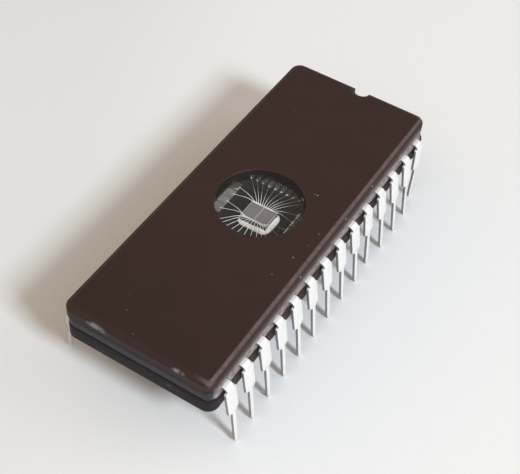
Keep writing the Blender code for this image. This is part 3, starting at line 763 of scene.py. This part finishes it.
# Painted shade: the ceramic under the lens is darkened to near black.
painted_shade_under_lens = under_window(tree, place)
body = mix_colour(tree, painted_shade_under_lens, body, (0.006, 0.005, 0.0045))
tree.links.new(body, shader.inputs["Base Color"])
shine = product(tree, remap(tree, painted_shade_under_lens, 0, 1, 0.30, 0.0), remap(tree, low, 0, 1, 1.0, 0.4))
tree.links.new(shine, shader.inputs["Specular IOR Level"])
tree.links.new(remap(tree, grain, 0.3, 0.7, 0.46, 0.62), shader.inputs["Roughness"])
add_bump(tree, shader, grain, 0.010, 0.6)
for piece in (lid, base):
    dress(piece, ceramic)
print("dressed:", lid.name, base.name)

# %% [markdown]
# The fired seal glass is opaque and warm grey with darker streaks, smoother than the ceramic, and full
# of tiny pits from bubbles. At both ends of the package painted shade makes it nearly black, apart
# from a painted highlight at the near right corner. Under the window painted shade makes it nearly
# black too, but only grey beside the left lead tips.

# %% Seal glass finish
seal_finish, tree, shader, place = start_finish("fired seal glass", 0.35)
pits = noise(tree, place, 9.0, detail=5.0)
streaks = noise(tree, place, 2.0, detail=3.0)
x, y, z = split(tree, place)
body = mix_colour(tree, remap(tree, pits, 0.35, 0.7, 0, 1),
                  (0.19, 0.158, 0.153), (0.34, 0.295, 0.285))
body = mix_colour(tree, remap(tree, streaks, 0.45, 0.62, 0, 0.8), body, (0.11, 0.082, 0.078))
# Painted shade: the glass at both ends is darkened to near black.
painted_shade_at_end = remap(tree, maths(tree, "ABSOLUTE", y), 17.1, 17.9, 0, 1)
body = mix_colour(tree, painted_shade_at_end, body, (0.019, 0.016, 0.0185))
# Painted highlight: a pale patch on the glass at the near right corner.
painted_corner_highlight = marks(tree, place, [(7.20, -17.72, 6.72, 0.42, 0.5)], (1.0, 1.0, 0.8))
body = mix_colour(tree, painted_corner_highlight, body, (0.45, 0.41, 0.45))
# Painted shade: the glass under the lens is darkened to near black, and only to grey beside the left
# lead tips.
painted_shade_under_lens = under_window(tree, place)
body = mix_colour(tree, painted_shade_under_lens, body, (0.007, 0.006, 0.006))
beside_tips = product(tree, maths(tree, "LESS_THAN", x, -2.95), within(tree, y, -0.52, 1.55),
                      maths(tree, "LESS_THAN", z, 7.0), painted_shade_under_lens)
body = mix_colour(tree, beside_tips, body, (0.105, 0.098, 0.092))
tree.links.new(body, shader.inputs["Base Color"])
tree.links.new(remap(tree, painted_shade_under_lens, 0, 1, 0.5, 0.0), shader.inputs["Specular IOR Level"])
tree.links.new(remap(tree, pits, 0.3, 0.7, 0.34, 0.5), shader.inputs["Roughness"])
add_bump(tree, shader, pits, 0.03, 0.5)
dress(seal, seal_finish)
print("dressed:", seal.name)

# %% [markdown]
# The legs are tin plated: a soft, almost white metal with a matte, slightly uneven surface and faint
# greyer patches. Under the lid the same strip is bare and dark from firing, apart from its tip, which
# is clad with aluminium for the wires. The distance from the package's middle tells the three apart.
# Outside, faces that look up are painted lighter as a painted highlight, and the sheared edges are
# darker as bare cut metal, with painted shade stronger on the right row. Inside, the tips on the left
# are a clouded grey and painted shade makes those on the right dark.

# %% Tin, fired metal and clad tips
tin, tree, shader, place = start_finish("tin plated lead", 0.45, metallic=0.35)
patch = noise(tree, place, 2.2, detail=5.0)
fine = noise(tree, place, 18.0, detail=4.0)
x, y, _ = split(tree, place)
far_x, far_y = maths(tree, "ABSOLUTE", x), maths(tree, "ABSOLUTE", y)
bright = mix_colour(tree, remap(tree, patch, 0.4, 0.75, 0, 0.6),
                    (0.82, 0.795, 0.77), (0.71, 0.69, 0.67))
# Painted highlight: faces that look up are made lighter.
_, turned_y, turned_z = split(tree, tree.nodes["Texture Coordinate"].outputs["Normal"])
bright = mix_colour(tree, remap(tree, turned_z, 0.5, 0.9, 0, 1), bright, (0.94, 0.92, 0.89))
# Sheared edges are darker as bare cut metal, with painted shade that is stronger on the right row.
sheared_and_shaded = product(tree, remap(tree, maths(tree, "ABSOLUTE", turned_y), 0.55, 0.85, 0, 1),
                  remap(tree, x, -1.0, 1.0, 0.4, 1.0))
bright = mix_colour(tree, sheared_and_shaded, bright, (0.26, 0.255, 0.25))
outside = remap(tree, far_x, 7.0, 7.1, 0, 1)
clad = remap(tree, maths(tree, "MAXIMUM", far_x, far_y), 4.20, 4.30, 1, 0)
# Painted shade: the tips on the right lose their pale cladding colour and stay dark.
painted_shade_right_tips = product(tree, maths(tree, "GREATER_THAN", x, 3.08), maths(tree, "LESS_THAN", far_y, 3.0))
clad = product(tree, clad, maths(tree, "SUBTRACT", 1.0, painted_shade_right_tips))
inner = mix_colour(tree, clad, (0.08, 0.075, 0.08), (0.72, 0.72, 0.73))
dull_tip = product(tree, maths(tree, "LESS_THAN", x, -2.95), within(tree, y, -0.52, 1.60))
clouded = mix_colour(tree, remap(tree, noise(tree, place, 1.3), 0.35, 0.65, 0, 1),
                     (0.12, 0.11, 0.105), (0.19, 0.175, 0.168))
inner = mix_colour(tree, dull_tip, inner, clouded)
tree.links.new(mix_colour(tree, outside, inner, bright), shader.inputs["Base Color"])
metal = product(tree, remap(tree, outside, 0, 1, 0.95, 0.35),
                maths(tree, "MAXIMUM", maths(tree, "SUBTRACT", 1.0, dull_tip), outside))
tree.links.new(metal, shader.inputs["Metallic"])
matte = remap(tree, fine, 0.3, 0.7, 0.40, 0.54)
polish = maths(tree, "MULTIPLY_ADD", outside, matte, remap(tree, outside, 0, 1, 0.07, 0))
tree.links.new(polish, shader.inputs["Roughness"])
add_bump(tree, shader, fine, 0.006, 0.5)
for lead in leads:
    dress(lead, tin)
print("dressed leads:", len(leads))

# %% [markdown]
# The lens is clear glass. Its colour and index are the same all over, so they are set on the shader
# itself, and a very faint smear of handling varies its roughness.

# %% Window glass
clear, tree, shader, place = start_finish("clear window glass", 0.02)
shader.inputs["Base Color"].default_value = (0.97, 0.98, 0.98, 1.0)
shader.inputs["Transmission Weight"].default_value = 1.0
shader.inputs["IOR"].default_value = 1.5
shader.inputs["Specular IOR Level"].default_value = 0.2
smear = noise(tree, place, 0.9, detail=3.0)
tree.links.new(remap(tree, smear, 0.5, 0.8, 0.01, 0.06), shader.inputs["Roughness"])
dress(lens, clear)
print("dressed:", lens.name)

# %% [markdown]
# The die attach is silver in glass: pale, rough and softly shining, with slightly darker flecks.

# %% Silver die attach
silver, tree, shader, place = start_finish("silver die attach", 0.5, metallic=0.1)
flakes = noise(tree, place, 12.0, detail=5.0)
body = mix_colour(tree, remap(tree, flakes, 0.3, 0.7, 0, 1), (0.58, 0.54, 0.50), (0.84, 0.79, 0.74))
tree.links.new(body, shader.inputs["Base Color"])
add_bump(tree, shader, flakes, 0.03, 0.6)
dress(attach, silver)
print("dressed:", attach.name)

# %% [markdown]
# The die's face is drawn with plain arithmetic on its place: fine stripes over the two cell blocks, a
# pale line between them, a pale border, and bright pads along the two edges that the wires leave.

# %% Silicon with its circuits
ROW_SPACING, PAD_SPACING = 0.12, 0.2
silicon, tree, shader, place = start_finish("silicon die", 0.38, metallic=0.3)
die_x, die_y, die_z = split(tree, place)
die_y = maths(tree, "SUBTRACT", die_y, DIE_SHIFT)
far_x, far_y = maths(tree, "ABSOLUTE", die_x), maths(tree, "ABSOLUTE", die_y)
cells = product(tree, within(tree, far_x, 0.60, 0.52), within(tree, die_y, 0.0, 0.76))
rows = maths(tree, "SINE", product(tree, die_y, 2 * math.pi / ROW_SPACING))
stripes = product(tree, cells, remap(tree, rows, -0.3, 0.3, 0.6, 1.0))
from_pad = maths(tree, "PINGPONG", maths(tree, "ADD", die_x, PAD_SPACING / 2), PAD_SPACING / 2)
pads = product(tree, within(tree, far_y, 0.95, 0.06), within(tree, from_pad, 0.0, 0.055))
border = maths(tree, "MAXIMUM", maths(tree, "GREATER_THAN", far_x, 1.25),
               maths(tree, "GREATER_THAN", far_y, 1.03))
lines = maths(tree, "MAXIMUM", border, maths(tree, "LESS_THAN", far_x, 0.03))
blocks = noise(tree, place, 6.0, detail=2.0)
body = mix_colour(tree, remap(tree, blocks, 0.4, 0.6, 0, 1),
                  (0.125, 0.112, 0.118), (0.17, 0.155, 0.16))
body = mix_colour(tree, stripes, body, (0.165, 0.148, 0.152))
body = mix_colour(tree, lines, body, (0.42, 0.40, 0.40))
body = mix_colour(tree, pads, body, (0.80, 0.79, 0.77))
on_face = maths(tree, "GREATER_THAN", die_z, DIE_TOP - 0.02)
body = mix_colour(tree, on_face, (0.05, 0.045, 0.045), body)
tree.links.new(body, shader.inputs["Base Color"])
dress(die, silicon)
print("dressed:", die.name)

# %% [markdown]
# The wires are drawn aluminium, smooth, with a faint change of tone along them. Beyond the die on the
# far side and on the right they are painted dark as painted shade, apart from the welds at their ends.

# %% Aluminium wire
wire_finish, tree, shader, place = start_finish("aluminium bond wire", 0.3, metallic=0.5)
dull = noise(tree, place, 5.0)
x, y, _ = split(tree, place)
body = mix_colour(tree, dull, (0.95, 0.95, 0.95), (0.85, 0.85, 0.87))
# Painted shade: wires beyond the die on the far side and on the right are darkened; their welds are
# not.
painted_shade_far_wires = maths(tree, "MAXIMUM", remap(tree, y, 1.1, 2.3, 0, 0.9), remap(tree, x, 1.4, 2.2, 0, 0.9))
weld = maths(tree, "MAXIMUM", remap(tree, y, 2.98, 3.08, 0, 1), remap(tree, x, 2.88, 2.98, 0, 1))
painted_shade_far_wires = product(tree, painted_shade_far_wires, maths(tree, "SUBTRACT", 1.0, weld))
body = mix_colour(tree, painted_shade_far_wires, body, (0.09, 0.085, 0.085))
tree.links.new(body, shader.inputs["Base Color"])
for wire in wires:
    dress(wire, wire_finish)
print("dressed wires:", len(wires))

# %% [markdown]
# The camera was found by fitting the lead tips, the steps in the leads, the package's corners and the
# window to the photograph. It looks down at 48 degrees from the near right, with a long lens and a
# roll of five degrees.

# %% Camera
AZIMUTH, ELEVATION, ROLL = np.radians([27.95, 48.23, 5.11])
DISTANCE = 106.27
SENSOR, FOCAL_PIXELS, PHOTO_WIDTH = 36.0, 1121.8, 520
target = np.array([-1.568, 3.437, 0.0])
back = np.array([math.sin(AZIMUTH) * math.cos(ELEVATION),
                 -math.cos(AZIMUTH) * math.cos(ELEVATION), math.sin(ELEVATION)])
level_right = np.cross(-back, [0, 0, 1])
level_right /= np.linalg.norm(level_right)
level_up = np.cross(level_right, -back)
right = math.cos(ROLL) * level_right + math.sin(ROLL) * level_up
upright = -math.sin(ROLL) * level_right + math.cos(ROLL) * level_up
camera_data = bpy.data.cameras.new("camera")
camera_data.sensor_width = SENSOR
camera_data.lens = FOCAL_PIXELS / PHOTO_WIDTH * SENSOR
camera_data.clip_start = 0.005
camera_data.clip_end = 10.0
camera = bpy.data.objects.new("camera", camera_data)
turned = Matrix(np.column_stack([right, upright, back]).tolist()).to_4x4()
camera.matrix_world = Matrix.Translation(Vector(target + back * DISTANCE) * MM) @ turned
bpy.context.scene.collection.objects.link(camera)
bpy.context.scene.camera = camera
print("camera at", [round(v, 4) for v in camera.location])

# %% [markdown]
# The chip stands on a pale, matte table. Its plane is large enough that no edge shows, and its tone
# is painted a little darker to the near left, as painted shade where the light falls off.

# %% Table
def table_points(half):
    """A flat ring of four corners, and the same ring 5 mm below it."""
    corner = np.array([[1, 1], [-1, 1], [-1, -1], [1, -1]]) * half
    top = np.column_stack([corner, np.zeros(4)])
    return np.stack([top - [0, 0, 5.0], top])


TABLE_HALF = 1500.0
table = make_piece("table", table_points(TABLE_HALF))
table.parent = None
pale, tree, shader, place = start_finish("pale table", 0.6)
fleck = noise(tree, place, 0.8, detail=3.0)
x, y, _ = split(tree, place)
# Painted shade: the table grows darker towards the near left, where the light falls off.
across = maths(tree, "ADD", product(tree, x, 0.75), product(tree, y, 0.35))
body = mix_colour(tree, remap(tree, across, -17, -2, 0, 1),
                  (0.75, 0.753, 0.757), (0.816, 0.818, 0.822))
body = mix_colour(tree, remap(tree, fleck, 0.4, 0.8, 0, 0.10), body, (0.72, 0.72, 0.72))
tree.links.new(body, shader.inputs["Base Color"])
dress(table, pale)
print("table", table.dimensions[:])

# %% [markdown]
# The light in the photograph is soft daylight from the right and a little in front: the shadow of
# the near left corner runs 18 degrees off the chip's width, and its length puts the light 40 degrees
# up. A wide dim lamp stands for the open sky beside it. The room is warmer on the left, so the world
# glows there by a power of the cosine and tints the shadow brown, and in front it glows a neutral
# grey. Under the lens the daylight comes in steeper, 59 degrees up, because glass bends it, so the
# die, its attach and the wires have a lamp of their own.

# %% Light
def soft_lamp(name, place_mm, size_mm, power, colour):
    """A square area lamp that looks at the chip."""
    data = bpy.data.lights.new(name, "AREA")
    data.size = size_mm * MM
    data.energy = power
    data.color = colour
    lamp = bpy.data.objects.new(name, data)
    lamp.location = Vector(place_mm) * MM
    lamp.rotation_euler = Vector(place_mm).to_track_quat("Z", "Y").to_euler()
    bpy.context.scene.collection.objects.link(lamp)
    return lamp


def aim_only(lamp, pieces, state):
    """Lets a lamp light only these pieces (INCLUDE) or all but these (EXCLUDE)."""
    group = bpy.data.collections.new(f"{lamp.name}_pieces")
    for piece in pieces:
        group.objects.link(piece)
    lamp.light_linking.receiver_collection = group
    for item in group.collection_objects:
        item.light_linking.link_state = state


daylight = soft_lamp("daylight", (433, -145, 390), 127, 3.2, (0.81, 0.90, 0.98))
bent_daylight = soft_lamp("bent_daylight", (291, -97, 516), 93, 2.3, (0.96, 0.95, 0.93))
soft_lamp("open_sky", (560, 420, 560), 700, 1.6, (0.95, 0.98, 1.0))
seen_through_lens = [die, attach, *wires]
aim_only(daylight, seen_through_lens, "EXCLUDE")
aim_only(bent_daylight, seen_through_lens, "INCLUDE")
world = bpy.data.worlds.new("pale room")
bpy.context.scene.world = world
world.use_nodes = True
WARM_SIDE, FRONT = (-0.87, -0.30, 0.39), (0.10, -0.93, 0.35)
sky = world.node_tree
towards = add_node(sky, "ShaderNodeTexCoord").outputs["Generated"]
facing = vector(sky, "DOT_PRODUCT", towards, WARM_SIDE).outputs["Value"]
glow = maths(sky, "POWER", maths(sky, "MAXIMUM", facing, 0.0), 4.0)
room = mix_colour(sky, glow, (0.335, 0.298, 0.262), (1.38, 0.99, 0.59))
front = vector(sky, "DOT_PRODUCT", towards, FRONT).outputs["Value"]
front = maths(sky, "POWER", maths(sky, "MAXIMUM", front, 0.0), 3.0)
room = mix_colour(sky, front, room, (0.62, 0.63, 0.64))
sky.links.new(room, sky.nodes["Background"].inputs["Color"])
bpy.context.scene.view_settings.view_transform = "Standard"
